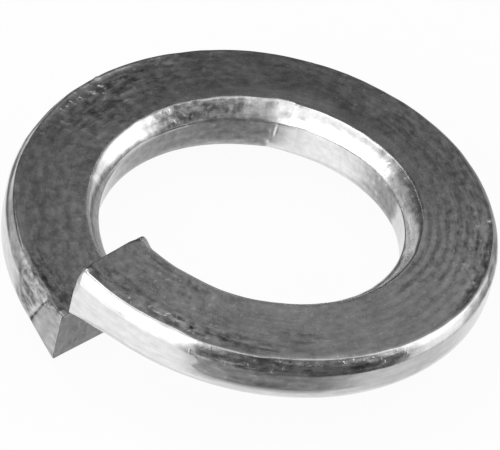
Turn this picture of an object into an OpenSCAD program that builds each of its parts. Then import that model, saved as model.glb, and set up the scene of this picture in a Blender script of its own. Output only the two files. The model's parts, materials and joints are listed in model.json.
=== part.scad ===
// Spring lock washer: a left-hand coil of one turn, cut from a strip with broad
// edges at the top and rounded edges below. The bore axis is +Z, the origin is on
// that axis level with the lowest point, and the cut faces -Y.

/* [Ring] */
// Diameter of the bore
bore_d = 12.5; // [9:0.1:15]
// Outside diameter
outer_d = 20.4; // [18:0.1:28]
// Thickness of the strip midway between bore and rim
thickness = 2.55; // [2.2:0.05:4]
// How much thicker the strip is at the bore than at the rim
taper = 0.28; // [0:0.02:0.5]

/* [Coil] */
// Height that the strip climbs in its one turn
rise = 2.9; // [0.5:0.05:6]
// Gap between the two cut ends
cut_gap = 0.27; // [0.1:0.01:1.5]
// Distance that the cut passes beside the axis
cut_offset = 0.5; // [0:0.05:1.5]

/* [Upper edges] */
// Width of the bevel round the rim, measured across the strip
rim_bevel_w = 0.3; // [0.15:0.05:0.8]
// Height of the bevel round the rim
rim_bevel_h = 0.6; // [0.3:0.05:0.9]
// Width of the bevel round the bore, measured across the strip
bore_bevel_w = 0.62; // [0.2:0.02:0.9]
// Height of the bevel round the bore
bore_bevel_h = 0.74; // [0.3:0.02:0.9]
// How far the bevels bulge beyond a straight chamfer
bevel_crown = 0.05; // [0.02:0.01:0.08]

/* [Lower edges] */
// Radius of the rounded edge under the rim
rim_round = 0.95; // [0.3:0.05:0.95]
// Radius of the rounded edge under the bore
bore_round = 0.85; // [0.3:0.05:0.95]
// Radius that shearing leaves on the edge under the rim at the cut ends
end_round = 0.15; // [0.05:0.05:0.25]
// Length of strip beside each cut in which that edge grows to its full radius
end_length = 2; // [1:0.1:6]

/* [Smoothness] */
// Number of straight steps in the turn
turn_steps = 120; // [60:4:160]
// Number of straight steps across each bevel and rounded edge
edge_steps = 3; // [2:1:4]

/* [Hidden] */
bore_r = bore_d / 2;
outer_r = outer_d / 2;
strip_w = outer_r - bore_r;
// The swept strip runs this far past both walls, and is then trimmed to true cylinders
trim = 0.05;
// A rounded edge meets its wall at this angle instead of running out tangent to it
run_out = 15;
// The trimming tube is this much taller than the coil at each end
margin = 1;
cut_direction = -90;

// Height of the strip's underside and upper side at radius r, before the strip is set level
function underside(r) = taper / 2 * (r - bore_r) / strip_w;
function upper_side(r) = thickness + taper / 2 - underside(r);

// The point on the line from p through q that lies at radius r
function reach(p, q, r) = p + (q - p) * (r - p[0]) / (q[0] - p[0]);

// Points from the flat at a towards the wall at b, bulging outwards, then on past the wall to radius r
function bevel(a, b, r, crown) =
    let (
        along = b - a,
        side = sign(along[0]),
        outward = [-along[1], along[0]] * side / norm(along),
        points = [for (i = [0 : edge_steps])
            let (k = i / edge_steps) a + along * k + outward * crown * 4 * k * (1 - k)]
    )
    [for (i = [0 : edge_steps - 1]) points[i], reach(points[edge_steps - 1], points[edge_steps], r)];

// Points from past the wall at radius r round to the underside, for an edge of the given radius
function rounded_edge(wall_r, side, radius, r) =
    let (
        centre = [wall_r - side * radius, underside(wall_r - side * radius) + radius],
        points = [for (i = [0 : edge_steps])
            let (angle = run_out + (90 - run_out) * i / edge_steps)
            centre + radius * [side * cos(angle), -sin(angle)]],
        tangent = [side * sin(run_out), cos(run_out)]
    )
    concat([reach(points[0], points[0] + tangent, r)], points);

function reversed(list) = [for (i = [len(list) - 1 : -1 : 0]) list[i]];

// The strip's section as [radius, height], going round from the rim's bevel by the underside to the
// bore's, where the edge under the rim has the share k of its growth from the cut's radius to the full one
function section(k) = concat(
    bevel([outer_r - rim_bevel_w, upper_side(outer_r - rim_bevel_w)],
          [outer_r, upper_side(outer_r) - rim_bevel_h], outer_r + trim, bevel_crown),
    rounded_edge(outer_r, 1, end_round + (rim_round - end_round) * k, outer_r + trim),
    reversed(rounded_edge(bore_r, -1, bore_round, bore_r - trim)),
    reversed(bevel([bore_r + bore_bevel_w, upper_side(bore_r + bore_bevel_w)],
                   [bore_r, upper_side(bore_r) - bore_bevel_h], bore_r - trim, bevel_crown)));
end_section = section(0);
lowest = min([for (p = end_section) p[1]]);
coil_height = rise + max([for (p = end_section) p[1]]) - lowest;

// How far the edge under the rim has grown at the share t of the turn: 0 at a cut, 1 from end_length on
function growth(t) = sin(90 * min(1, min(t, 1 - t) * PI * (bore_r + outer_r) / end_length));

// Angles at which a point at radius r meets the cut, at the lower and at the upper end
function lower_cut(r) = cut_direction - asin((cut_offset + cut_gap / 2) / r);
function upper_cut(r) = cut_direction - asin((cut_offset - cut_gap / 2) / r) - 360;

// The section's point p carried along the turn to the share t of its length
function on_coil(p, t) =
    let (angle = lower_cut(p[0]) + t * (upper_cut(p[0]) - lower_cut(p[0])))
    [p[0] * cos(angle), p[0] * sin(angle), p[1] - lowest + rise * t];

// The coil as swept facets, still oversize at both walls
module swept_strip() {
    count = len(end_section);
    points = [for (i = [0 : turn_steps], p = section(growth(i / turn_steps))) on_coil(p, i / turn_steps)];
    sides = [for (i = [0 : turn_steps - 1], j = [0 : count - 1])
        let (a = i * count + j, b = i * count + (j + 1) % count)
        each [[a, b, b + count], [a, b + count, a + count]]];
    lower_end = [for (j = [count - 1 : -1 : 0]) j];
    upper_end = [for (j = [0 : count - 1]) turn_steps * count + j];
    polyhedron(points = points, faces = concat(sides, [lower_end, upper_end]), convexity = 6);
}

// The space between the bore and the rim
module wall_tube() {
    translate([0, 0, -margin])
        difference() {
            cylinder(h = coil_height + 2 * margin, r = outer_r, $fn = 360);
            translate([0, 0, -margin])
                cylinder(h = coil_height + 4 * margin, r = bore_r, $fn = 360);
        }
}

module spring_washer() {
    color("silver")
        intersection() {
            swept_strip();
            wall_tube();
        }
}

spring_washer();
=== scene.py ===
import json
import math
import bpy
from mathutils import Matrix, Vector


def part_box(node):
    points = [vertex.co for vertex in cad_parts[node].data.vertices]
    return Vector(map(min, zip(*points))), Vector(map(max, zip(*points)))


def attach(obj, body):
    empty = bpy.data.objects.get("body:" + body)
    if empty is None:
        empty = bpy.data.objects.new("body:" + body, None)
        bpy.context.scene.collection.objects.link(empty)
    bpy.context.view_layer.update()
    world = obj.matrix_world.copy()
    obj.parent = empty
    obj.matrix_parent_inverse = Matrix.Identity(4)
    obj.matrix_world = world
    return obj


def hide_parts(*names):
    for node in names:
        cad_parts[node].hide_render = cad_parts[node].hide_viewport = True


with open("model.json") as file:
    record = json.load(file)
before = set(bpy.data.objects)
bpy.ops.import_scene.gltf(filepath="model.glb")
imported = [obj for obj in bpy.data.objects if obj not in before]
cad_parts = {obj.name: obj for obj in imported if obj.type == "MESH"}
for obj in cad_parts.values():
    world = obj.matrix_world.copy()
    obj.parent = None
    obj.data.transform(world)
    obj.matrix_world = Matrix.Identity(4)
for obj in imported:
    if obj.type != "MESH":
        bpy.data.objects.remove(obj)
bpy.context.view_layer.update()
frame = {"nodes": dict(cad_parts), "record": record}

from types import SimpleNamespace

import bpy
import numpy as np
from mathutils import Matrix, Vector

# Spring lock washer: its strip is swept here at a fine step, with the marks of rolling, coiling,
# shearing and plating, in the same frame as the solid. Lengths in this script are in millimetres
# and become metres where a mesh or an object is made.
MM = 0.001

# Sizes read from the frame
low_corner, high_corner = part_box("spring_washer")
RIM_R = (high_corner.x - low_corner.x) / 2 / MM
COIL_HEIGHT = high_corner.z / MM
mounts = {mount["name"]: mount for mount in frame["record"]["mounts"]}
BORE_R = mounts["bolt_bore"]["dims"]["r_mm"]
STRIP_W = RIM_R - BORE_R
TURN_LENGTH = math.pi * (RIM_R + BORE_R)

# Section of the strip, with the same sizes as the solid's
THICKNESS = 2.55
TAPER = 0.28
RIM_BEVEL_W, RIM_BEVEL_H = 0.3, 0.6
BORE_BEVEL_W, BORE_BEVEL_H = 0.62, 0.74
BEVEL_CROWN = 0.05
RIM_ROUND, BORE_ROUND = 0.95, 0.85

# Radius under the rim at the cuts, and the length in which it grows to the full one
END_ROUND, END_LENGTH = 0.15, 2

# Eased edges of a bevel: how far each reaches on the flat or the wall, the most that this may be, as a
# divisor of the bevel's width, and the share of the bevel that it takes
EDGE_EASE, EASE_DIVISOR, EASE_SHARE = 0.06, 3, 0.12

# Unevenness of the bevels: the seed of each size's wander, and its reach as a share of that size
RIM_W_WANDER, RIM_H_WANDER = (11, 0.16), (12, 0.07)
BORE_W_WANDER, BORE_H_WANDER = (13, 0.07), (14, 0.05)
# A wander is a slow noise and a quick one: the weight and the size of each
WANDER = [(0.65, 2.3), (0.35, 0.6)]

# Where the rim's bevel is rolled steeper, as shares of the turn, and its width and height there
STEEP_FROM, STEEP_TO = (0.855, 0.868), (0.925, 0.908)
STEEP_W, STEEP_H = 0.17, 0.72

# The sheared lower end: length in which the rim's bevel is pressed out, and what is left of it
PRESSED_END, PRESSED_FADE = 0.95, 0.62
PRESSED_W, PRESSED_H = 0.07, 0.15

# A tongue of bevel that runs up into the flat
TONGUE_FROM, TONGUE_TO, TONGUE_W = (0.360, 0.394), (0.404, 0.398), 0.08

# The tip of the upper end, where the shear has pushed the bore's bevel out and rounded it
TIP_FROM, TIP_W, TIP_H, TIP_EASE = 0.984, 0.24, 0.20, 0.20

# The cut through the ring, and how far its edges are rounded
CUT_GAP = 0.27
CUT_OFFSET = 0.5
CUT_DIRECTION = math.radians(-90)
CUT_EDGE = 0.04
# At the upper end the shear has rolled the edges over: length and depth, how far in from the bevels
# it reaches on the flat, and the heights between which it begins on the walls
ROLLED_EDGE, ROLLED_DEPTH = 0.32, 0.13
ROLLED_REACH, ROLLED_HEIGHTS = 0.5, (1.2, 1.9)

# Mesh steps along the turn and along each part of the section
STATIONS = 860
END_STATIONS = 6
STEPS = {"top": 28, "ease": 3, "rim_bevel": 9, "rim_wall": 9, "rim_round": 9, "under": 9,
         "bore_round": 8, "bore_wall": 9, "bore_bevel": 11}
# The first station past the rounded edge of a cut, as a multiple of that edge
FIRST_STATION = 1.6

# Rings of points that fill a cut end, how they crowd towards its middle, and how many stations back
# from the cut the strip's direction is taken
CAP_RINGS, CAP_CROWDING, CAP_BEHIND = 12, 1.6, 20
# Streaks of the shear on a cut end: seeds and sizes of two noises, how the first is stretched, their
# weights, and the depth
CUT_STREAK, CUT_GRAIN = (31, 0.5), (32, 0.22)
CUT_STRETCH = (2, 2, 0.4)
STREAK_WEIGHT, GRAIN_WEIGHT, CUT_DEPTH = 0.6, 0.4, 0.02

# Parts of the section that share a treatment
BEVEL_EDGES = {"rim_bevel": ("rim_edge", "rim_crease"), "bore_bevel": ("bore_crease", "bore_edge")}
FLATS, EASED_EDGES = ("top", "under"), ("rim_edge", "bore_edge")
RIM_WALL, BORE_WALL = ("rim_wall", "rim_round"), ("bore_wall", "bore_round")
RIM_SLOPE = ("rim_edge", "rim_bevel", "rim_crease")
RIM_SIDE = ("rim_bevel", "rim_crease", "rim_wall", "rim_round")


def smooth(edge0, edge1, value):
    """0 at edge0 and 1 at edge1, with a smooth step between them."""
    k = np.clip((value - edge0) / (edge1 - edge0), 0, 1)
    return k * k * (3 - 2 * k)


def hump(centre, width, value):
    """1 at the centre, falling smoothly to 0 at width on both sides."""
    return 1 - smooth(0, width, np.abs(value - centre))


def between(a, b, share):
    """The value at that share of the way from a to b."""
    return a + (b - a) * share


class Noise:
    """Smooth value noise from -1 to 1 over points in space, the same on each run."""

    COUNT = 4096
    STRIDES = (73, 179, 283)

    def __init__(self, seed):
        self.table = np.random.default_rng(seed).uniform(-1, 1, self.COUNT)

    def lattice(self, *corner_numbers):
        place = sum(number * stride for number, stride in zip(corner_numbers, self.STRIDES))
        return self.table[place % self.COUNT]

    def __call__(self, x, y, z, size):
        x, y, z = x / size, y / size, z / size
        i, j, k = (np.floor(v).astype(int) for v in (x, y, z))
        fx, fy, fz = (f * f * (3 - 2 * f) for f in (x - i, y - j, z - k))
        total = 0
        for di in (0, 1):
            for dj in (0, 1):
                for dk in (0, 1):
                    weight = (fx if di else 1 - fx) * (fy if dj else 1 - fy) * (fz if dk else 1 - fz)
                    total = total + weight * self.lattice(i + di, j + dj, k + dk)
        return total


def noise_at(kind, x, y, z):
    """The noise of a kind, which is a seed and a size, at points in space."""
    seed, size = kind
    return Noise(seed)(x, y, z, size)


def underside(r):
    return TAPER / 2 * (r - BORE_R) / STRIP_W


def upper_side(r):
    return THICKNESS + TAPER / 2 - underside(r)


# The section's lowest point is where the rounded edge under the bore meets the underside, and the
# coil's rise is what the solid's height has over the section's
LOWEST = underside(BORE_R + BORE_ROUND)
RISE = COIL_HEIGHT - (upper_side(BORE_R + BORE_BEVEL_W) - LOWEST)


def line(a, b, steps):
    k = np.arange(steps) / steps
    return between(a[:, None], b[:, None], k[None, :, None])


def corner(a, tip, b, steps):
    """Points on the curve that rounds the corner at tip between a and b."""
    k = (np.arange(steps) / steps)[None, :, None]
    return (1 - k) ** 2 * a[:, None] + 2 * k * (1 - k) * tip[:, None] + k * k * b[:, None]


def crowned(a, b, crown, steps):
    """Points on the line from a to b that bulges by crown, short of both ends by EASE_SHARE of it."""
    along = b - a
    outward = np.stack([-along[:, 1], along[:, 0]], 1) * np.sign(along[:, :1])
    outward = outward / np.linalg.norm(outward, axis=1, keepdims=True)
    k = (EASE_SHARE + (1 - 2 * EASE_SHARE) * np.arange(steps + 1) / steps)[None, :, None]
    bulge = (crown * np.ones((len(a), 1)))[:, :, None]
    return a[:, None] + along[:, None] * k + outward[:, None] * bulge * 4 * k * (1 - k)


def arc(centre, side, radius, angles):
    """Points round the centre, on the rim's side (1) or the bore's (-1), at angles below level."""
    r = centre[:, :1] + radius * side * np.cos(angles)[None]
    z = centre[:, 1:] - radius * np.sin(angles)[None]
    return np.stack([r, z], 2)


def along_strip(share, outline):
    """Length along the strip at each point of the outlines."""
    return share[:, None] * TURN_LENGTH + 0 * outline[..., 0]


def growth(share):
    """How far the edge under the rim has grown: 0 at a cut, 1 from END_LENGTH on."""
    from_cut = np.minimum(share, 1 - share) * TURN_LENGTH
    return np.sin(math.pi / 2 * np.minimum(1, from_cut / END_LENGTH))


def wandering(size, seed, reach, along):
    """A size that wanders along the strip, by up to about the reach as a share of it."""
    noise = Noise(seed)
    still = 0 * along
    wander = sum(weight * noise(along, still, still, length) for weight, length in WANDER)
    return size * (1 + reach * wander)


def bevel_sizes(share):
    """Widths and heights of the rim's and the bore's bevel at each station."""
    along = share * TURN_LENGTH
    rim_w = wandering(RIM_BEVEL_W, *RIM_W_WANDER, along)
    rim_h = wandering(RIM_BEVEL_H, *RIM_H_WANDER, along)
    bore_w = wandering(BORE_BEVEL_W, *BORE_W_WANDER, along)
    bore_h = wandering(BORE_BEVEL_H, *BORE_H_WANDER, along)
    steep = smooth(*STEEP_FROM, share) * smooth(*STEEP_TO, share)
    pressed = smooth(PRESSED_END + PRESSED_FADE, PRESSED_END - PRESSED_FADE, along)
    rim_w = between(between(rim_w, STEEP_W, steep), PRESSED_W, pressed)
    rim_h = between(between(rim_h, STEEP_H, steep), PRESSED_H, pressed)
    tongue = smooth(*TONGUE_FROM, share) * smooth(*TONGUE_TO, share)
    tip = smooth(TIP_FROM, 1, share)
    bore_w = bore_w + TONGUE_W * tongue - TIP_W * tip
    bore_h = bore_h - TIP_H * tip
    return rim_w[:, None], rim_h[:, None], bore_w[:, None], bore_h[:, None]


def section(share):
    """Section outlines at the given shares of the turn, as (station, point, (radius, height)), and
    the name of the part of the section that each point belongs to."""
    rim_w, rim_h, bore_w, bore_h = bevel_sizes(share)

    def point(r, z):
        return np.concatenate([r + 0 * rim_w, z + 0 * rim_w], 1)

    rim_flat = point(RIM_R - rim_w, upper_side(RIM_R - rim_w))
    rim_crease = point(RIM_R, upper_side(RIM_R) - rim_h)
    bore_flat = point(BORE_R + bore_w, upper_side(BORE_R + bore_w))
    bore_crease = point(BORE_R, upper_side(BORE_R) - bore_h)

    rim_crown = BEVEL_CROWN * np.minimum(1, rim_w / RIM_BEVEL_W)
    rim_bevel = crowned(rim_flat, rim_crease, rim_crown, STEPS["rim_bevel"])
    bore_bevel = crowned(bore_flat, bore_crease, BEVEL_CROWN, STEPS["bore_bevel"])

    rim_ease = np.minimum(EDGE_EASE, rim_w / EASE_DIVISOR)
    bore_ease = EDGE_EASE + TIP_EASE * smooth(TIP_FROM, 1, share)[:, None]
    top_rim = rim_flat - rim_ease * [1, 0]
    top_bore = bore_flat + bore_ease * [1, 0]
    wall_rim = rim_crease - rim_ease * [0, 1]
    wall_bore = bore_crease - [0, EDGE_EASE]

    rim_round = between(END_ROUND, RIM_ROUND, growth(share))[:, None]
    bore_round = BORE_ROUND + 0 * rim_round
    rim_centre = point(RIM_R - rim_round, underside(RIM_R - rim_round) + rim_round)
    bore_centre = point(BORE_R + bore_round, underside(BORE_R + bore_round) + bore_round)
    rim_arc = arc(rim_centre, 1, rim_round, np.linspace(0, math.pi / 2, STEPS["rim_round"] + 1))
    bore_arc = arc(bore_centre, -1, bore_round, np.linspace(math.pi / 2, 0, STEPS["bore_round"] + 1))

    legs = [("top", line(top_bore, top_rim, STEPS["top"])),
            ("rim_edge", corner(top_rim, rim_flat, rim_bevel[:, 0], STEPS["ease"])),
            ("rim_bevel", rim_bevel),
            ("rim_crease", corner(rim_bevel[:, -1], rim_crease, wall_rim, STEPS["ease"])[:, 1:]),
            ("rim_wall", line(wall_rim, rim_arc[:, 0], STEPS["rim_wall"])),
            ("rim_round", rim_arc),
            ("under", line(rim_arc[:, -1], bore_arc[:, 0], STEPS["under"])[:, 1:]),
            ("bore_round", bore_arc),
            ("bore_wall", line(bore_arc[:, -1], wall_bore, STEPS["bore_wall"])[:, 1:]),
            ("bore_crease", corner(wall_bore, bore_crease, bore_bevel[:, -1], STEPS["ease"])),
            ("bore_bevel", bore_bevel[:, ::-1]),
            ("bore_edge", corner(bore_bevel[:, 0], bore_flat, top_bore, STEPS["ease"])[:, 1:])]
    names = [name for name, leg in legs for _ in range(leg.shape[1])]
    outline = np.concatenate([leg for _, leg in legs], 1)
    outline[:, :, 1] -= LOWEST
    return outline, np.array(names)


def on_coil(outline, share):
    """Places each point of the section outlines, at its radius and height, in space."""
    r, z = outline[..., 0], outline[..., 1]
    turn = np.broadcast_to(share[:, None], r.shape)
    lower_cut = CUT_DIRECTION - np.arcsin((CUT_OFFSET + CUT_GAP / 2) / r)
    upper_cut = CUT_DIRECTION - np.arcsin((CUT_OFFSET - CUT_GAP / 2) / r) - 2 * math.pi
    angle = between(lower_cut, upper_cut, turn)
    return np.stack([r * np.cos(angle), r * np.sin(angle), z + RISE * turn], -1)


def station_shares():
    """Shares of the turn, with a few close stations that round the edges of both cuts."""
    eased = CUT_EDGE * (1 - np.cos(np.linspace(0, math.pi / 2, END_STATIONS))) / TURN_LENGTH
    first = CUT_EDGE * FIRST_STATION / TURN_LENGTH
    return np.concatenate([eased, np.linspace(first, 1 - first, STATIONS), 1 - eased[::-1]])


def outline_normals(outline):
    """Outward normals of the section outlines, in the section's plane."""
    along = np.roll(outline, -1, 1) - np.roll(outline, 1, 1)
    normal = np.stack([-along[..., 1], along[..., 0]], -1)
    return normal / np.linalg.norm(normal, axis=-1, keepdims=True)


# Single marks: share of the turn, part of the section, place on it, half length along the strip, half
# width across it, and height, where a dent is below 0
MARKS = [(0.246, "rim_bevel", 0.05, 0.16, 0.16, 0.035),
         (0.232, "top", 9.55, 0.12, 0.10, 0.03),
         (0.226, "top", 9.15, 0.10, 0.09, 0.025),
         (0.299, "top", 9.08, 0.25, 0.12, 0.03),
         (0.300, "top", 9.30, 0.30, 0.14, -0.03),
         (0.404, "bore_bevel", 0.02, 0.22, 0.16, 0.03),
         (0.378, "bore_wall", 0.75, 0.25, 0.22, -0.06),
         (0.608, "top", 9.66, 0.22, 0.16, -0.05),
         (0.605, "top", 9.82, 0.20, 0.10, 0.03),
         (0.561, "bore_bevel", 0.22, 0.14, 0.10, 0.02),
         (0.574, "bore_bevel", 0.16, 0.12, 0.09, 0.02),
         (0.668, "top", 9.72, 0.14, 0.12, 0.035),
         (0.004, "top", 10.02, 0.22, 0.20, 0.07),
         (0.998, "top", 9.80, 0.20, 0.14, 0.10),
         (0.036, "top", 9.28, 1.30, 0.07, 0.02),
         (0.952, "top", 9.60, 0.40, 0.05, 0.02),
         (0.925, "top", 9.30, 0.35, 0.07, 0.025),
         (0.918, "top", 9.45, 0.20, 0.06, -0.03)]

# Lumps strewn over the rougher stretch of the flat near the rim: how many and their seed, shares of the
# turn, radii, half widths and heights
LUMPS, LUMP_SEED = 80, 51
LUMP_SHARES, LUMP_RADII = (0.175, 0.335), (8.5, 9.85)
LUMP_SIZES, LUMP_HEIGHTS = (0.08, 0.15), (-0.010, 0.050)


def spot(part, place):
    """The section's point at a share of the way down a bevel, at a radius on the top or at a height on
    a wall."""
    if part == "rim_bevel":
        r, z = RIM_R - RIM_BEVEL_W * (1 - place), upper_side(RIM_R) - RIM_BEVEL_H * place
    elif part == "bore_bevel":
        r, z = BORE_R + BORE_BEVEL_W * (1 - place), upper_side(BORE_R) - BORE_BEVEL_H * place
    elif part == "top":
        r, z = place, upper_side(place)
    else:
        r, z = (RIM_R if part == "rim_wall" else BORE_R), place
    return r, z - LOWEST


def strewn_lumps():
    """The lumps as rows like those of the single marks."""
    rng = np.random.default_rng(LUMP_SEED)
    rows = []
    for _ in range(LUMPS):
        near_rim = math.sqrt(rng.random())
        r = between(*LUMP_RADII, near_rim)
        size = rng.uniform(*LUMP_SIZES)
        rows.append((rng.uniform(*LUMP_SHARES), "top", r, size, size, rng.uniform(*LUMP_HEIGHTS)))
    return rows


def marks_and_lumps(share, outline):
    """Height that the single marks and the lumps add at each point."""
    height = 0 * outline[..., 0]
    for at, part, place, length, width, mark in MARKS + strewn_lumps():
        r, z = spot(part, place)
        along = (share - at)[:, None] * TURN_LENGTH * outline[..., 0] / ((RIM_R + BORE_R) / 2)
        across = np.hypot(outline[..., 0] - r, outline[..., 1] - z)
        height += mark * hump(0, 1, np.hypot(along / length, across / width))
    return height


def groove(along, across, start, end, width):
    """1 on the line between two places on the strip, falling to 0 at width beside it."""
    (a0, c0), (a1, c1) = start, end
    length = math.hypot(a1 - a0, c1 - c0)
    k = np.clip(((along - a0) * (a1 - a0) + (across - c0) * (c1 - c0)) / length ** 2, 0, 1)
    return hump(0, width, np.hypot(along - a0 - k * (a1 - a0), across - c0 - k * (c1 - c0)))


# The facet that the shear left on the rim at the lower end reaches from the cut to a slanting line with a
# lip beyond it: places on the strip as length along it and height, and the size of the line and the lip
FACET_TOP, FACET_FOOT = (0.867, 2.50), (1.50, 0.6)
LINE_DEPTH, LINE_REACH = 0.022, 0.09
LIP_TOP, LIP_AWAY, LIP_HEIGHT, LIP_REACH = (1.02, 2.05), 0.16, 0.014, 0.1


def shear_line(share, outline):
    """The line that the shear's edge left across the rim near the lower end, with its lip."""
    along, z = along_strip(share, outline), outline[..., 1]
    depth = LINE_DEPTH * groove(along, z, FACET_TOP, FACET_FOOT, LINE_REACH)
    return LIP_HEIGHT * groove(along - LIP_AWAY, z, LIP_TOP, FACET_FOOT, LIP_REACH) - depth


# The kink that the coiling tool left in the bore's wall: share of the turn, depth and half length, and
# its notch and lips, each with its height, its two ends as length from the kink and height, and its width
KINK_SHARE, KINK_DEPTH, KINK_REACH = 0.385, 0.04, 1.3
KINK_LINES = [(-0.03, (0, 1.3), (0.03, 1.7), 0.07),
              (0.008, (-0.13, 1.25), (-0.1, 1.7), 0.08),
              (0.008, (0.13, 1.3), (0.15, 1.75), 0.08)]


def coiling_kink(share, outline, bore, wall):
    """The notch that the coiling tool's edge left in the bore, and the slight kink about it."""
    along = along_strip(share, outline) - KINK_SHARE * TURN_LENGTH
    kink = -KINK_DEPTH * (1 - np.minimum(1, np.abs(along) / KINK_REACH))
    lines = sum(height * groove(along, outline[..., 1], start, end, width)
                for height, start, end, width in KINK_LINES)
    return wall * kink + bore * lines


# How much of the roughness reaches the edges of the bevels
EDGE_ROUGH = 0.4
# Zones of rougher metal: share of the turn, half length as a share, and how rough
RIM_ROUGH = [(0.245, 0.09, 0.7), (0.835, 0.085, 1.0), (0.16, 0.05, 0.4), (0.02, 0.05, 0.25)]
BORE_ROUGH = [(0.30, 0.075, 0.55), (0.555, 0.06, 0.5), (0.39, 0.02, 0.3)]
TOP_ROUGH = [(0.245, 0.08, 0.8), (0.93, 0.06, 0.6), (0.65, 0.07, 0.6), (0.45, 0.1, 0.2)]
# The flat is rougher towards the rim: the share that is left inside, and the radii of the change
INNER_ROUGH, OUTER_RADII = 0.25, (8.6, 9.8)

# Noises of the relief, each with its seed and size
BROAD, FINE, GRAIN = (21, 2.4), (22, 0.42), (23, 0.19)
DRAWN_FINE, DRAWN_GRAIN = (26, 0.26), (27, 0.13)
ROLLED, WARP = (24, 1.1), (25, 1.4)
# The drawn noises are stretched along the strip, and the rolled one is squeezed across it
DRAWN_FINE_STRETCH, DRAWN_GRAIN_STRETCH, ROLLED_SQUEEZE = 0.3, 0.22, 3
# Heights of the relief, and the weights of the fine noise and the grain in rough metal
BROAD_HEIGHT, FINE_HEIGHT, ROUGH_HEIGHT, ROLLED_HEIGHT = 0.010, 0.0025, 0.018, 0.004
ROUGH_FINE, ROUGH_GRAIN = 0.6, 0.8
# Faint rings on the flat: where they begin and end, as shares of the turn, and their sizes
RINGS_FROM, RINGS_TO = (0.57, 0.63), (0.75, 0.69)
RING_HEIGHT, RING_SPACING, RING_WARP = 0.006, 0.42, 0.12


def zones(rows, share):
    level = 0 * share
    for centre, half, rough in rows:
        level = np.maximum(level, rough * hump(centre, half, share) ** 0.5)
    return level[:, None]


def part_masks(names):
    """For each part of the section 1 at its points and 0 elsewhere, and EDGE_ROUGH at the eased edges
    of a bevel."""
    masks = {name: (names == name)[None].astype(float) for name in np.unique(names)}
    for bevel, edges in BEVEL_EDGES.items():
        masks[bevel] = np.maximum(masks[bevel], EDGE_ROUGH * np.isin(names, edges)[None])
    return masks


def roughness(masks, share, r):
    """How rough the metal is at each point."""
    towards_rim = between(INNER_ROUGH, 1, smooth(*OUTER_RADII, r))
    return (masks["rim_bevel"] * zones(RIM_ROUGH, share)
            + masks["bore_bevel"] * zones(BORE_ROUGH, share)
            + masks["top"] * zones(TOP_ROUGH, share) * towards_rim)


def unevenness(points, outline, share, top, rough):
    """Height of the rolled and drawn metal and of its rough stretches, below the true surface."""
    x, y, z = np.moveaxis(points, -1, 0)
    r = outline[..., 0]
    along, across = along_strip(share, outline), outline[..., 1] - r
    broad = noise_at(BROAD, x, y, z)
    fine = noise_at(FINE, x, y, z)
    grain = noise_at(GRAIN, x, y, z)
    drawn_fine = noise_at(DRAWN_FINE, DRAWN_FINE_STRETCH * along, across, 0 * r)
    drawn_grain = noise_at(DRAWN_GRAIN, DRAWN_GRAIN_STRETCH * along, across, 0 * r)
    coarse = (ROUGH_FINE * np.where(top, fine, drawn_fine)
              + ROUGH_GRAIN * np.where(top, grain, drawn_grain))
    height = BROAD_HEIGHT * (broad - 1) + FINE_HEIGHT * (fine - 1)
    height += rough * ROUGH_HEIGHT * (coarse - ROUGH_FINE - ROUGH_GRAIN)
    return height + top * ROLLED_HEIGHT * (noise_at(ROLLED, r * ROLLED_SQUEEZE, along, 0 * r) - 1)


def faint_rings(points, outline, share):
    """Height of the faint rings on one stretch of the flat, below the true surface."""
    here = smooth(*RINGS_FROM, share) * smooth(*RINGS_TO, share)
    warp = RING_WARP * noise_at(WARP, *np.moveaxis(points, -1, 0))
    waves = np.sin(2 * math.pi * (outline[..., 0] + warp) / RING_SPACING)
    return here[:, None] * RING_HEIGHT * (waves - 1)


def relief(points, outline, names, share):
    """Height of the marks of rolling, coiling and shearing above the true surface, and how rough the
    metal is, at each point of the swept surface. It stays below 0 apart from a few lips and burrs."""
    masks = part_masks(names)
    rough = roughness(masks, share, outline[..., 0])
    rim = masks["rim_bevel"] + masks["rim_wall"] + masks["rim_round"]
    bore_wall = masks["bore_wall"] + masks["bore_round"]
    height = unevenness(points, outline, share, masks["top"], rough)
    height += masks["top"] * faint_rings(points, outline, share)
    height += rim * shear_line(share, outline)
    height += coiling_kink(share, outline, masks["bore_bevel"] + bore_wall, bore_wall)
    height += marks_and_lumps(share, outline)
    return height, rough


def cut_inset(outline, names, share):
    """How far the surface draws in where the edges of the cuts are rounded. The shear has rolled the
    edges over at the upper end."""
    r, z = outline[..., 0], outline[..., 1]
    inside = np.minimum(RIM_R - RIM_BEVEL_W - r, r - BORE_R - BORE_BEVEL_W)
    rolled = np.where(names == "top", smooth(ROLLED_REACH, 0, inside), smooth(*ROLLED_HEIGHTS, z))
    rolled = rolled * (share > 0.5)[:, None]
    length = between(CUT_EDGE, ROLLED_EDGE, rolled)
    depth = between(CUT_EDGE, ROLLED_DEPTH, rolled)
    from_cut = (np.minimum(share, 1 - share) * TURN_LENGTH)[:, None]
    return depth * (1 - np.sqrt(1 - np.clip(1 - from_cut / length, 0, 1) ** 2))


def cut_face(ring, behind):
    """Rings of points that fill a cut end, with the streaks of the shear, from the ring at the cut and
    one behind it."""
    third = len(ring) // 3
    two_thirds = 2 * len(ring) // 3
    normal = np.cross(ring[third] - ring[0], ring[two_thirds] - ring[0])
    normal = normal / np.linalg.norm(normal)
    normal = normal * np.sign(normal @ (ring - behind).mean(0))
    centre = ring.mean(0)
    levels = []
    for step in range(1, CAP_RINGS + 1):
        k = (step / CAP_RINGS) ** CAP_CROWDING
        points = centre + (ring - centre) * (1 - k)
        streak = noise_at(CUT_STREAK, *(points * CUT_STRETCH).T)
        grain = noise_at(CUT_GRAIN, *points.T)
        sunk = CUT_DEPTH * min(1, 2 * k) * (1 + STREAK_WEIGHT * streak + GRAIN_WEIGHT * grain)
        levels.append(points - normal * sunk[:, None])
    return levels


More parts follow.
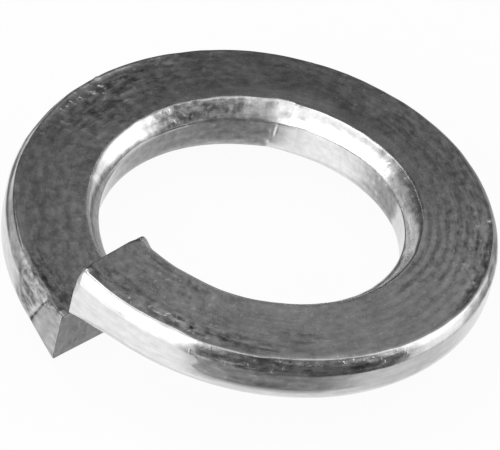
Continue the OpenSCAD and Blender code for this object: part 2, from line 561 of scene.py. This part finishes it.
def washer_surface():
    """Vertices in millimetres, quads and triangles, and the values that the material reads."""
    share = station_shares()
    outline, names = section(share)
    height, rough = relief(on_coil(outline, share), outline, names, share)
    drawn_in = cut_inset(outline, names, share)
    outline = outline + outline_normals(outline) * (height - drawn_in)[..., None]
    outline[..., 0] = np.minimum(outline[..., 0], RIM_R)
    points = on_coil(outline, share)

    stations, count = outline.shape[:2]
    total = stations * count
    grid = np.arange(total).reshape(stations, count)
    ahead = np.roll(grid, -1, 1)
    vertices = [points.reshape(-1, 3)]
    quads = [np.stack([grid[:-1], ahead[:-1], ahead[1:], grid[1:]], -1).reshape(-1, 4)]
    triangles = []
    for end, behind, turned in ((0, CAP_BEHIND, 1), (-1, -1 - CAP_BEHIND, -1)):
        last = grid[end]
        *levels, middle = cut_face(points[end], points[behind])
        for level in levels:
            inner = np.arange(total, total + count)
            strip = np.stack([last, inner, np.roll(inner, -1), np.roll(last, -1)], -1)
            vertices.append(level)
            quads.append(strip[:, ::turned])
            last = inner
            total += count
        fan = np.stack([last, np.full(count, total), np.roll(last, -1)], -1)
        vertices.append(middle[:1])
        triangles.append(fan[:, ::turned])
        total += 1
    vertices = np.concatenate(vertices)
    values = material_values(outline, names, share, rough, vertices[stations * count:])
    return vertices, np.concatenate(quads), np.concatenate(triangles), values


# Patches of dull plating, also painted darker: the rim's patch and the first of the bore's are painted
# shade, where the walls should mirror the dark side of the room and the washer's shadow on the floor.
# Shares of the turn over which one begins and ends, and how dull and dark it is
RIM_DULL_SHADE = (0.765, 0.87, 0.903, 0.908, 1.9)
BORE_DULL_SHADES = [(0.09, 0.27, 0.380, 0.385, 1.5), (0.47, 0.53, 0.56, 0.575, 1.7)]
# The rim's patch of painted shade fades out between these heights
RIM_SHADE_HEIGHTS = (0.6, 0.9)
# The crease between the bore's bevel and its wall is dull from here on, and painted darker there as shade
# in the crease
CREASE_SHADE = (0.285, 0.305)
# Blotches on bevels and walls, painted darker with a mottle: those on the bevels are painted shade, which
# dims their reflections where the surroundings should be darker, and the one on the rim's wall is a darker
# patch. Parts of the section, and the same values as for a dull patch
BLOTCHES_AND_SHADE = [(("rim_bevel", "rim_edge"), (-0.02, -0.01, 0.050, 0.075, 0.4)),
            (RIM_WALL, (0.020, 0.028, 0.036, 0.056, 0.6)),
            (("bore_bevel", "bore_edge"), (0.235, 0.262, 0.345, 0.378, 0.9)),
            (("rim_bevel",), (0.775, 0.79, 0.90, 0.93, 0.4)),
            (("rim_bevel",), (0.580, 0.61, 0.665, 0.70, 0.9))]

# The sheared facet, and the bevel and the wall beside it: how dull each is, and where the dullness fades,
# as lengths from the slanting line or as shares of the turn
FACET_DULL, FACET_FADE = 1.3, (0.04, -0.04)
BESIDE_DULL, BESIDE_END = 2.2, (0.085, 0.045)
WALL_DULL, WALL_END = 1.5, (0.058, 0.036)
# The slanting line is dull and painted darker, as shade in its groove, and its lip is painted brighter, as
# a highlight
LINE_SHADE, LINE_WIDTH = 1.8, 0.08
LIP_HIGHLIGHT, LIP_WIDTH = 0.8, 0.16

# Darker stains on the upper flat: share of the turn, radius, half length along the strip, half width
# across it, and how dark
STAINS = [(0.035, 9.60, 2.2, 0.40, 0.7),
          (0.012, 9.10, 1.0, 0.70, 0.6),
          (0.225, 8.40, 1.8, 0.80, 0.6),
          (0.245, 8.90, 2.4, 0.80, 0.7),
          (0.505, 8.60, 3.0, 0.80, 0.2),
          (0.585, 9.00, 4.5, 1.20, 0.4),
          (0.655, 9.60, 2.4, 0.34, 0.6),
          (0.700, 7.60, 1.6, 0.50, 0.3),
          (0.835, 8.70, 1.3, 0.50, 0.4),
          (0.900, 9.40, 3.2, 0.45, 0.6),
          (0.983, 9.20, 1.0, 0.55, 0.6),
          (0.930, 7.30, 2.0, 0.30, 0.4)]
# Brighter places on the upper flat, painted lighter: the same values, and how bright
BRIGHTER_PLACES = [(0.405, 7.20, 6.5, 0.55, 1.1),
        (0.078, 9.75, 1.5, 0.30, 0.8)]
# A stain fades between these shares of its size
STAIN_FADE = (1.15, 0.35)

# The noise that makes all these ragged: seed, size and how it is squeezed across the strip, and how far it
# moves the ends of a patch, the foot of the rim's patch, the facet, what is beside it, and a stain
RAGGED, RAGGED_SQUEEZE = (41, 0.5), 2
PATCH_RAGGED, FOOT_RAGGED, FACET_RAGGED = 0.006, 0.2, 0.05
BESIDE_RAGGED, WALL_RAGGED, STAIN_RAGGED = 0.01, 0.012, 0.35


def patch(share, bounds, noise):
    """How dull the plating is in a patch whose ends are ragged, and how much darker it is painted there.
    """
    starts, whole, ends, gone, dull = bounds
    ragged = share[:, None] + PATCH_RAGGED * noise
    return dull * smooth(starts, whole, ragged) * smooth(gone, ends, ragged)


def stain_strength(row, along, r, noise):
    """How strong a stain or a brighter place is at each point."""
    at, radius, length, width, strength = row
    reach = np.hypot((along - at * TURN_LENGTH) / length, (r - radius) / width)
    return strength * smooth(*STAIN_FADE, reach + STAIN_RAGGED * noise)


def stain_and_shade_darkness(outline, names, share, noise):
    """How dark each point is painted, below 0 where it is brighter: stains and brighter places on the
    upper flat, and blotches on bevels and walls, those on the bevels painted shade.
    """
    along, r = along_strip(share, outline), outline[..., 0]
    dark = 0 * along
    for row in STAINS:
        dark = np.maximum(dark, stain_strength(row, along, r, noise))
    for row in BRIGHTER_PLACES:
        dark = dark - stain_strength(row, along, r, noise)
    dark = dark * (names == "top")
    for parts, bounds in BLOTCHES_AND_SHADE:
        dark = dark + patch(share, bounds, noise) * np.isin(names, parts)
    return dark


def dullness_and_shade(outline, names, share, noise):
    """How dull the plating is at each point, and how much darker it is painted: duller on the sheared
    facet and beside it, painted shade on the rim's wall, on the bore's wall and in its crease and in the
    slanting line's groove, and a painted highlight on that line's lip.
    """
    along, z, turn = along_strip(share, outline), outline[..., 1], share[:, None]
    slant = (FACET_FOOT[0] - FACET_TOP[0]) / (FACET_FOOT[1] - FACET_TOP[1])
    past_facet = along - (FACET_TOP[0] + slant * (z - FACET_TOP[1]))
    rim = patch(share, RIM_DULL_SHADE, noise) * smooth(*RIM_SHADE_HEIGHTS, z + FOOT_RAGGED * noise)
    facet = FACET_DULL * smooth(*FACET_FADE, past_facet + FACET_RAGGED * noise)
    beside = BESIDE_DULL * smooth(*BESIDE_END, turn + BESIDE_RAGGED * noise)
    wall = WALL_DULL * smooth(*WALL_END, turn + WALL_RAGGED * noise)
    dull = 0 * along
    for parts, level in ((("rim_wall", "rim_crease"), rim), (RIM_SIDE, facet), (RIM_SLOPE, beside),
                         (RIM_WALL, wall)):
        dull = np.maximum(dull, level * np.isin(names, parts))
    lip = LIP_HIGHLIGHT * groove(along - LIP_AWAY, z, LIP_TOP, FACET_FOOT, LIP_WIDTH)
    mark = groove(along, z, FACET_TOP, FACET_FOOT, LINE_WIDTH) - lip
    dull = dull + LINE_SHADE * mark * np.isin(names, RIM_SIDE)
    bore = sum(patch(share, bounds, noise) for bounds in BORE_DULL_SHADES)
    dull = dull + np.isin(names, BORE_WALL) * bore
    return dull + (names == "bore_crease") * bore * smooth(*CREASE_SHADE, turn)


def material_values(outline, names, share, rough, caps):
    """Values of each vertex that the material reads: what kind of surface it is on, how rough the metal
    is, how dull the plating is with the painted shade and highlight that go with it, how stained it is
    with the blotches of painted shade, and its place along and across the strip."""
    step = np.linalg.norm(np.diff(outline, axis=1), axis=-1)
    across = np.concatenate([np.zeros((len(share), 1)), np.cumsum(step, 1)], 1)
    along = along_strip(share, outline)
    noise = noise_at(RAGGED, along, RAGGED_SQUEEZE * across, 0 * across)
    eased = 0.5 * np.isin(names, EASED_EDGES)
    swept = {"flat": np.isin(names, FLATS) + eased,
             "bevel": np.isin(names, tuple(BEVEL_EDGES)) + eased,
             "rough": rough,
             "dull": dullness_and_shade(outline, names, share, noise),
             "stain": stain_and_shade_darkness(outline, names, share, noise)}
    none = np.zeros(len(caps))
    values = {key: np.append(np.broadcast_to(value, along.shape), none) for key, value in swept.items()}
    values["cut"] = np.append(0 * along, none + 1)
    strip = np.stack([along, across, 0 * along], -1).reshape(-1, 3)
    cap_strip = np.stack([caps[:, 2], np.hypot(caps[:, 0], caps[:, 1]), caps[:, 1]], -1)
    values["strip"] = np.concatenate([strip, cap_strip])
    return values


def build_mesh(name, vertices, quads, triangles, values):
    mesh = bpy.data.meshes.new(name)
    faces = quads.tolist() + triangles.tolist()
    mesh.from_pydata((vertices * MM).tolist(), [], faces)
    mesh.polygons.foreach_set("use_smooth", np.ones(len(faces), bool))
    mesh.update()
    for key, value in values.items():
        kind, field = ("FLOAT_VECTOR", "vector") if value.ndim == 2 else ("FLOAT", "value")
        mesh.attributes.new(key, kind, "POINT").data.foreach_set(field, value.ravel())
    piece = bpy.data.objects.new(name, mesh)
    bpy.context.scene.collection.objects.link(piece)
    return piece


class Nodes:
    """A short way to write a node tree."""

    def __init__(self, tree):
        self.tree = tree
        tree.nodes.clear()

    def add(self, kind, inputs=None, **settings):
        node = self.tree.nodes.new(kind)
        for key, value in settings.items():
            setattr(node, key, value)
        for key, value in (inputs or {}).items():
            socket = node.inputs[key]
            if isinstance(value, bpy.types.NodeSocket):
                self.tree.links.new(value, socket)
            else:
                socket.default_value = value
        return node

    def math(self, operation, *values):
        inputs = dict(enumerate(values))
        return self.add("ShaderNodeMath", inputs, operation=operation).outputs[0]

    def vector_math(self, operation, *vectors):
        inputs = dict(enumerate(vectors))
        return self.add("ShaderNodeVectorMath", inputs, operation=operation).outputs

    def sum(self, start, *terms):
        """start plus each value times its share."""
        total = start
        for value, part in terms:
            total = self.math("MULTIPLY_ADD", value, part, total)
        return total

    def product(self, a, b):
        return self.math("MULTIPLY", a, b)

    def centred(self, value):
        return self.math("SUBTRACT", value, 0.5)

    def value(self, name):
        """A value that the mesh holds for each vertex."""
        return self.add("ShaderNodeAttribute", attribute_name=name).outputs["Fac"]

    def noise(self, place, size, detail, roughness):
        inputs = {"Vector": place, "Scale": 1 / size, "Detail": detail, "Roughness": roughness}
        return self.add("ShaderNodeTexNoise", inputs).outputs["Fac"]

    def ramp(self, value, low, high):
        """A smooth step of value, from 0 at low to 1 at high."""
        inputs = {"Value": value, "From Min": low, "From Max": high}
        return self.add("ShaderNodeMapRange", inputs, interpolation_type="SMOOTHSTEP").outputs[0]


# Sizes of the plating's noises, and how the strip's place is squeezed for two of them
CLOUD_SIZE, MOTTLE_SIZE, GRAIN_SIZE, STREAK_SIZE, SPECK_SIZE, PIT_SIZE = 1.6, 0.42, 0.16, 1.0, 0.27, 0.34
MOTTLE_SQUEEZE, STREAK_SQUEEZE = (1.0, 1.3, 1.0), (0.55, 4.5, 1.0)
# Parts of a noise's range that make specks, pits, and the mottle of the stains and of the painted shade
SPECK_RANGE, PIT_RANGE, STAIN_AND_SHADE_RANGE = (0.60, 0.74), (0.38, 0.26), (0.60, 0.40)
# Grey of the bare wall, the least and the greatest grey, roughness of the bare wall, and depth of the bump
WALL_GREY, GREY_LIMITS = 0.63, (0.06, 0.93)
WALL_ROUGHNESS, BUMP_DEPTH = 0.20, 0.011


def plating_values(nodes):
    """What the plating is mixed from: the values that the mesh holds, and noises."""
    held = ("flat", "bevel", "rough", "dull", "cut", "stain")
    v = SimpleNamespace(**{name: nodes.value(name) for name in held})
    v.wall = nodes.sum(1.0, (v.flat, -1.0), (v.bevel, -1.0), (v.cut, -1.0))
    place = nodes.add("ShaderNodeTexCoord").outputs["Object"]
    strip = nodes.add("ShaderNodeAttribute", attribute_name="strip").outputs["Vector"]
    spread = nodes.vector_math("MULTIPLY", strip, MOTTLE_SQUEEZE)[0]
    drawn = nodes.vector_math("MULTIPLY", strip, STREAK_SQUEEZE)[0]
    v.clouds = nodes.noise(place, CLOUD_SIZE * MM, 3, 0.5)
    v.mottle = nodes.noise(spread, MOTTLE_SIZE, 4, 0.55)
    v.grain = nodes.noise(place, GRAIN_SIZE * MM, 3, 0.6)
    v.streaks = nodes.noise(drawn, STREAK_SIZE, 4, 0.6)
    v.specks = nodes.ramp(nodes.noise(place, SPECK_SIZE * MM, 2, 0.5), *SPECK_RANGE)
    v.pits = nodes.ramp(nodes.noise(place, PIT_SIZE * MM, 2, 0.5), *PIT_RANGE)
    v.uneven = nodes.sum(0.04, (v.flat, 0.14), (v.rough, 0.9), (v.dull, 0.1), (v.cut, 0.3))
    return v


def plating_colour(nodes, v):
    """Light burnished bevels, greyer mottled flats and cuts, darker where dull or stained and where shade
    is painted, lighter where a highlight is painted, with lighter specks painted as glints.
    """
    blotches = nodes.sum(0.0, (v.mottle, 0.6), (v.streaks, 0.4))
    # The stain value also carries the blotches on the bevels, which are painted shade over their
    # reflections
    stains_and_shade = nodes.product(v.stain, nodes.ramp(blotches, *STAIN_AND_SHADE_RANGE))
    streaked = nodes.sum(0.36, (v.cut, -0.26), (v.wall, -0.16), (v.rough, 0.3))
    mottled = nodes.sum(0.60, (v.flat, -0.22), (v.cut, -0.22), (v.wall, -0.30), (v.rough, 0.8),
                        (v.dull, 0.14))
    # The dull value darkens the grey as painted shade on the walls, in the bore's crease and in the shear
    # line's groove, and lightens it as a painted highlight on that line's lip
    grey = nodes.sum(WALL_GREY, (v.bevel, 0.14), (v.flat, -0.12), (v.cut, -0.32), (v.dull, -0.15),
                     (stains_and_shade, -0.34),
                     (nodes.centred(v.clouds), 0.22),
                     (nodes.product(nodes.centred(v.streaks), streaked), 1.0),
                     (nodes.product(nodes.centred(v.mottle), mottled), 1.0),
                     # Specks are painted lighter on the rougher metal as glints, on top of their bumps in
                     # plating_bump
                     (nodes.product(v.specks, v.uneven), 0.6),
                     (nodes.product(v.pits, v.uneven), -0.35))
    least, greatest = GREY_LIMITS
    level = nodes.add("ShaderNodeClamp", {"Value": grey, "Min": least, "Max": greatest}).outputs[0]
    return nodes.add("ShaderNodeCombineColor", {0: level, 1: level, 2: level}).outputs[0]


def plating_roughness(nodes, v):
    return nodes.sum(WALL_ROUGHNESS, (v.flat, 0.07), (v.cut, 0.24), (v.rough, 0.08), (v.dull, 0.16),
                     (nodes.centred(v.mottle), 0.16), (nodes.centred(v.clouds), 0.10))


def plating_bump(nodes, v):
    mottled = nodes.sum(0.25, (v.flat, 0.6), (v.rough, 1.6), (v.dull, 0.8), (v.cut, 0.6))
    grained = nodes.sum(0.1, (v.flat, 0.15), (v.rough, 1.0), (v.cut, 0.4))
    streaked = nodes.sum(0.2, (v.bevel, 0.4), (v.flat, 0.6))
    height = nodes.sum(0.0, (nodes.product(v.mottle, mottled), 1.0),
                       (nodes.product(v.grain, grained), 0.5),
                       (nodes.product(v.streaks, streaked), 0.4),
                       (nodes.product(v.specks, v.uneven), 0.6),
                       (nodes.product(v.specks, v.rough), 0.4),
                       (nodes.product(v.pits, v.uneven), -0.5))
    inputs = {"Height": height, "Strength": 1.0, "Distance": BUMP_DEPTH * MM}
    return nodes.add("ShaderNodeBump", inputs).outputs["Normal"]


def plated_steel():
    """Zinc plate over rolled steel: dull mottled flats, burnished bevels, smooth walls, satin cuts."""
    material = bpy.data.materials.new("plated_spring_steel")
    material.use_nodes = True
    nodes = Nodes(material.node_tree)
    v = plating_values(nodes)
    inputs = {"Base Color": plating_colour(nodes, v), "Metallic": 1.0,
              "Roughness": plating_roughness(nodes, v), "Normal": plating_bump(nodes, v)}
    shader = nodes.add("ShaderNodeBsdfPrincipled", inputs)
    nodes.add("ShaderNodeOutputMaterial", {"Surface": shader.outputs["BSDF"]})
    return material


# Camera: its direction and distance were worked out from the washer's outlines. The aim is the distance
# to the right of the bore's axis and above it as the camera sees them, and the height on that axis. The
# focal length is given as a share of the picture's width.
CAMERA_AZIMUTH = math.radians(35.985)
CAMERA_ELEVATION = math.radians(42.333)
CAMERA_ROLL = math.radians(14.185)
CAMERA_DISTANCE = 249.1
CAMERA_AIM = (-0.054, -0.014, 2.8)
FOCAL_SHARE = 6048.5 / 500
SENSOR = 36
CLIP_START = 10


def add_camera():
    sin_a, cos_a = math.sin(CAMERA_AZIMUTH), math.cos(CAMERA_AZIMUTH)
    sin_e, cos_e = math.sin(CAMERA_ELEVATION), math.cos(CAMERA_ELEVATION)
    back = Vector((sin_a * cos_e, -cos_a * cos_e, sin_e))
    level = Vector((cos_a, sin_a, 0))
    upright = back.cross(level)
    across, above, axis_height = CAMERA_AIM
    aim = Vector((0, 0, axis_height)) + level * across + upright * above
    right = level * math.cos(CAMERA_ROLL) + upright * math.sin(CAMERA_ROLL)
    up = upright * math.cos(CAMERA_ROLL) - level * math.sin(CAMERA_ROLL)
    camera = bpy.data.objects.new("camera", bpy.data.cameras.new("camera"))
    rotation = Matrix((right, up, back)).transposed().to_4x4()
    camera.matrix_world = Matrix.Translation((aim + back * CAMERA_DISTANCE) * MM) @ rotation
    camera.data.sensor_width = SENSOR
    camera.data.lens = FOCAL_SHARE * SENSOR
    camera.data.clip_start = CLIP_START * MM
    bpy.context.scene.collection.objects.link(camera)
    bpy.context.scene.camera = camera


# Studio directions: bearing 0 is the camera's side of the washer, 90 its left, -90 its right and 180
# beyond it, and height is the angle above the floor, all in degrees
def studio_direction(bearing, height):
    angle = CAMERA_AZIMUTH - math.pi / 2 - math.radians(bearing)
    rise = math.radians(height)
    return Vector((math.cos(angle) * math.cos(rise), math.sin(angle) * math.cos(rise), math.sin(rise)))


# Soft lamps: name, bearing, height, angular width and height in degrees, and radiance
PANELS = [("key_panel", 47, 19, 66, 38, 1.3),
          ("high_panel", 115, 62, 28, 28, 1.6)]
PANEL_DISTANCE = 400


def add_panel(name, bearing, height, wide, tall, radiance):
    """A soft lamp of the given angular width and height, seen from the washer."""
    distance = PANEL_DISTANCE * MM
    light = bpy.data.lights.new(name, "AREA")
    light.shape = "RECTANGLE"
    light.size = 2 * distance * math.tan(math.radians(wide / 2))
    light.size_y = 2 * distance * math.tan(math.radians(tall / 2))
    light.energy = radiance * math.pi * light.size * light.size_y
    panel = bpy.data.objects.new(name, light)
    towards = studio_direction(bearing, height)
    panel.location = towards * distance
    panel.rotation_euler = (-towards).to_track_quat("-Z", "Y").to_euler()
    panel.visible_camera = False
    bpy.context.scene.collection.objects.link(panel)


WHITE = (1, 1, 1, 1)
FLOOR_HALF_WIDTH = 1500
# How white the floor is to the camera, and its own colour
FLOOR_WHITE = 0.94
FLOOR_COLOUR = (0.9, 0.9, 0.9, 1)


def seen(nodes):
    """1 for what the camera sees, also through something clear, and 0 for what lights the washer."""
    path = nodes.add("ShaderNodeLightPath").outputs
    return nodes.math("MAXIMUM", path["Is Camera Ray"], path["Is Transmission Ray"])


def pale_floor():
    """White to the camera but for the washer's shadow, and clear from below."""
    material = bpy.data.materials.new("pale_floor")
    material.use_nodes = True
    nodes = Nodes(material.node_tree)
    white = nodes.add("ShaderNodeEmission", {"Color": WHITE, "Strength": 1.0}).outputs[0]
    pale = nodes.add("ShaderNodeBsdfDiffuse", {"Color": FLOOR_COLOUR}).outputs[0]
    clear = nodes.add("ShaderNodeBsdfTransparent").outputs[0]
    share = nodes.product(seen(nodes), FLOOR_WHITE)
    above = nodes.add("ShaderNodeMixShader", {0: share, 1: pale, 2: white}).outputs[0]
    behind = nodes.add("ShaderNodeNewGeometry").outputs["Backfacing"]
    mix = nodes.add("ShaderNodeMixShader", {0: behind, 1: above, 2: clear}).outputs[0]
    nodes.add("ShaderNodeOutputMaterial", {"Surface": mix})
    return material


def add_floor():
    """A plain pale floor, which the metal doesn't mirror."""
    size = FLOOR_HALF_WIDTH * MM
    mesh = bpy.data.meshes.new("floor")
    corners = [(-size, -size, 0), (size, -size, 0), (size, size, 0), (-size, size, 0)]
    mesh.from_pydata(corners, [], [(0, 1, 2, 3)])
    mesh.materials.append(pale_floor())
    floor = bpy.data.objects.new("floor", mesh)
    bpy.context.scene.collection.objects.link(floor)
    floor.visible_glossy = False


# The room is dark on the camera's left and lighter on its right, and changes over this share sideways
ROOM_LEFT, ROOM_RIGHT = 0.085, 0.38
ROOM_CHANGE = (-0.018, -0.088)
# What the washer sees round it: bearings from and to, heights from and to, softness, radiance
GLOWS = [(-400, 400, -95, -31, 10, 1.0),
         (12, 82, -95, 2, 10, 1.3),
         (82, 116, -38, -6, 12, 0.6),
         (-8, 92, 30, 90, 36, 1.15),
         (0, 95, -8, 38, 34, 1.3),
         (-120, -80, -30, 2, 10, 1.0),
         (-131, -78, -8, 60, 34, 1.6),
         (68, 120, -11, 16, 12, 0.45),
         (122, 158, -17, 4, 12, 0.85),
         (-400, 400, 62, 95, 16, 0.9)]
# Dark sides of the room: bearings from and to, heights from and to, softness, share of light left
SHADES = [(-84, -4, -30, 14, 9, 0.19),
          (-72, -30, 18, 44, 26, 0.40),
          (-60, 7, -58, -22, 18, 0.45),
          (-132, -74, -62, -32, 14, 0.80)]


def window(nodes, bearing, height, bounds):
    """1 inside the bounds of a glow or a dark side and 0 outside them, with soft edges."""
    b0, b1, h0, h1, soft = bounds
    share = nodes.ramp(bearing, b0 - soft / 2, b0 + soft / 2)
    share = nodes.product(share, nodes.ramp(bearing, b1 + soft / 2, b1 - soft / 2))
    share = nodes.product(share, nodes.ramp(height, h0 - soft / 2, h0 + soft / 2))
    return nodes.product(share, nodes.ramp(height, h1 + soft / 2, h1 - soft / 2))


def add_world():
    """The studio that the metal mirrors, and plain white to the camera."""
    world = bpy.data.worlds.new("studio")
    world.use_nodes = True
    bpy.context.scene.world = world
    nodes = Nodes(world.node_tree)
    towards = nodes.add("ShaderNodeTexCoord").outputs["Generated"]
    near, left, up = (nodes.vector_math("DOT_PRODUCT", towards, direction)["Value"] for direction in
                      (studio_direction(0, 0), studio_direction(90, 0), Vector((0, 0, 1))))
    bearing = nodes.math("DEGREES", nodes.math("ARCTAN2", left, near))
    height = nodes.math("DEGREES", nodes.math("ARCSINE", up))
    level = nodes.sum(ROOM_LEFT, (nodes.ramp(left, *ROOM_CHANGE), ROOM_RIGHT - ROOM_LEFT))
    for *bounds, radiance in GLOWS:
        glow = nodes.product(window(nodes, bearing, height, bounds), radiance)
        level = nodes.math("MAXIMUM", level, glow)
    for *bounds, light_left in SHADES:
        shade = nodes.sum(1.0, (window(nodes, bearing, height, bounds), light_left - 1))
        level = nodes.product(level, shade)
    room = nodes.add("ShaderNodeBackground", {"Color": WHITE, "Strength": level}).outputs[0]
    white = nodes.add("ShaderNodeBackground", {"Color": WHITE, "Strength": 1.0}).outputs[0]
    mix = nodes.add("ShaderNodeMixShader", {0: seen(nodes), 1: room, 2: white}).outputs[0]
    nodes.add("ShaderNodeOutputWorld", {"Surface": mix})


bpy.context.scene.view_settings.view_transform = "Standard"
add_camera()
add_floor()
add_world()
for panel_row in PANELS:
    add_panel(*panel_row)

steel = plated_steel()
washer = build_mesh("washer_surface", *washer_surface())
washer.data.materials.append(steel)
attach(washer, "root")
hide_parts("spring_washer")
solid = frame["nodes"]["spring_washer"]
solid.data.materials.clear()
solid.data.materials.append(steel)
